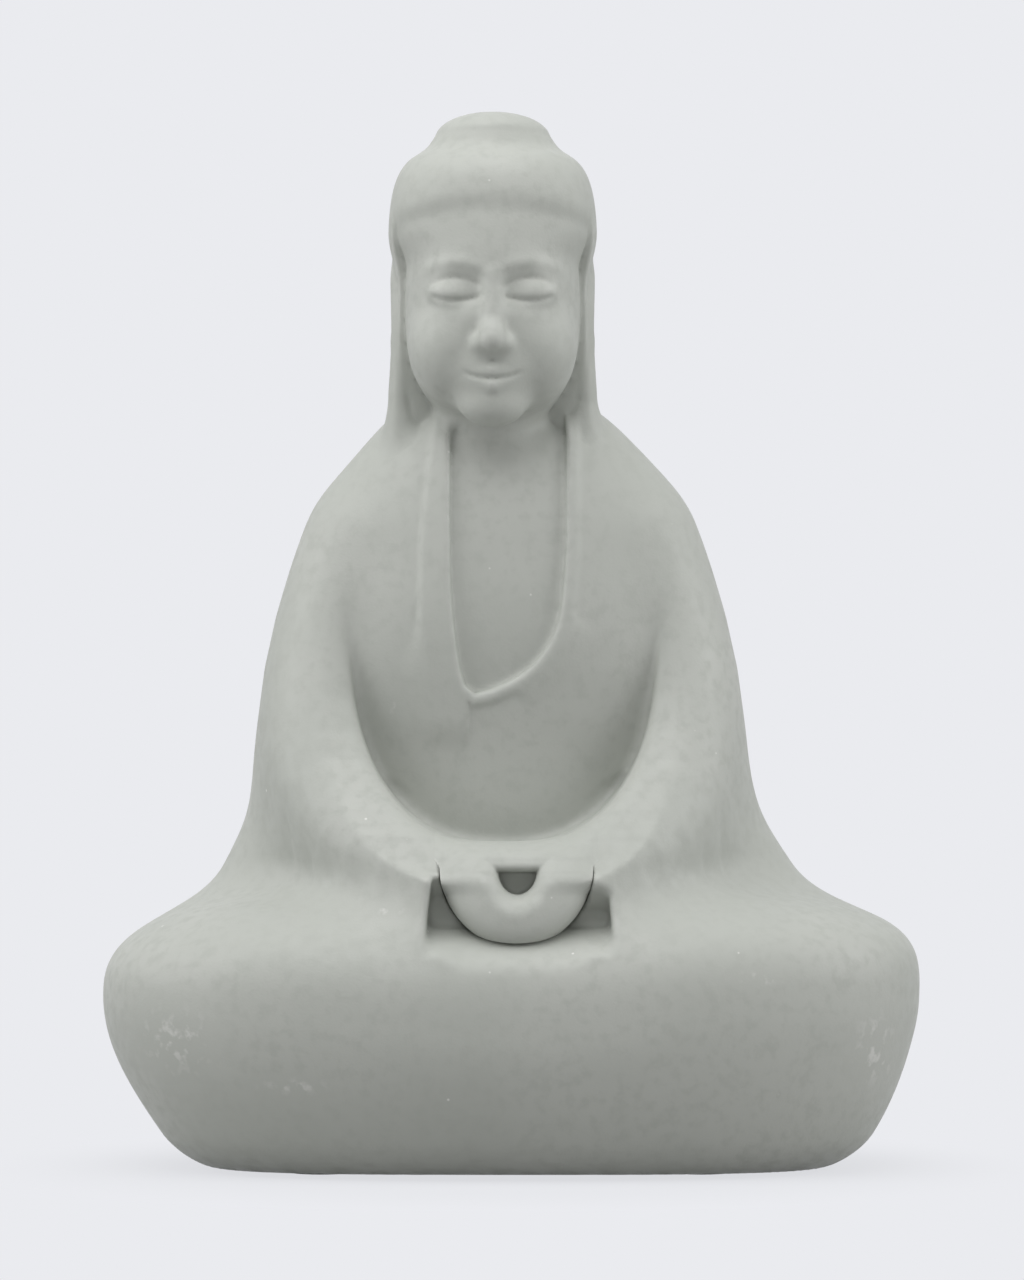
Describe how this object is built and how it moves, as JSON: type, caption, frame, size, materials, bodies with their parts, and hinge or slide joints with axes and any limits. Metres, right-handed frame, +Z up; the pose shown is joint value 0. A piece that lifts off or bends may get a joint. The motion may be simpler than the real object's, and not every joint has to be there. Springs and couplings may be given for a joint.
{
  "type": "meditating buddha statue",
  "caption": "Seated robed figure in meditation with folded hands, a topknot and long ears, cast in matte stoneware; it stands freely on felt pads as a desk or shelf ornament.",
  "frame": {"origin": "centre of the overall box, on the surface that the figure stands on", "axes": "+Z up, the figure faces -Y, +X to the right of someone who looks at its face"},
  "size_m": [0.1548, 0.091, 0.1999],
  "materials": {
    "stoneware": "matte grey-green stoneware with a faint satin",
    "felt": "dark felt"
  },
  "bodies": {
    "root": {"robed_body": "stoneware", "head": "stoneware", "folded_hands": "stoneware", "base_slab": "stoneware", "foot_pad_front_left": "felt", "foot_pad_front_right": "felt", "foot_pad_rear_left": "felt", "foot_pad_rear_right": "felt"}
  },
  "joints": []
}
